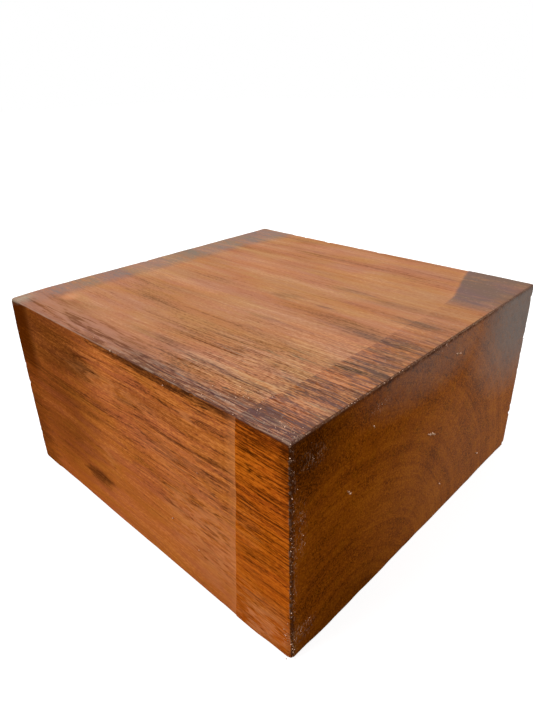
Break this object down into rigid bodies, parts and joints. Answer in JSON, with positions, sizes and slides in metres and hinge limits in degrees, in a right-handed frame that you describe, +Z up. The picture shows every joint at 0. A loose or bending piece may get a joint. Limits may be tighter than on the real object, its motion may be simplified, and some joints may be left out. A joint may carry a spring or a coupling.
{
  "type": "wood turning blank",
  "caption": "Squared block of dense red-brown hardwood with wax-dipped ends, for turning a bowl on a lathe.",
  "frame": {"origin": "middle of the face that the block lies on, in the plane of its wax coat", "axes": "+X along the grain, towards the right-hand end-grain face in the picture; +Y across the grain, away from the long-grain side that the picture shows; +Z up, through the thickness"},
  "size_m": [0.1524, 0.1494, 0.0784],
  "materials": {
    "hardwood": "dense red-brown hardwood, sawn and sanded, with a clear wax coat on both end-grain ends"
  },
  "bodies": {
    "root": {"turning_blank": "hardwood"}
  },
  "joints": []
}
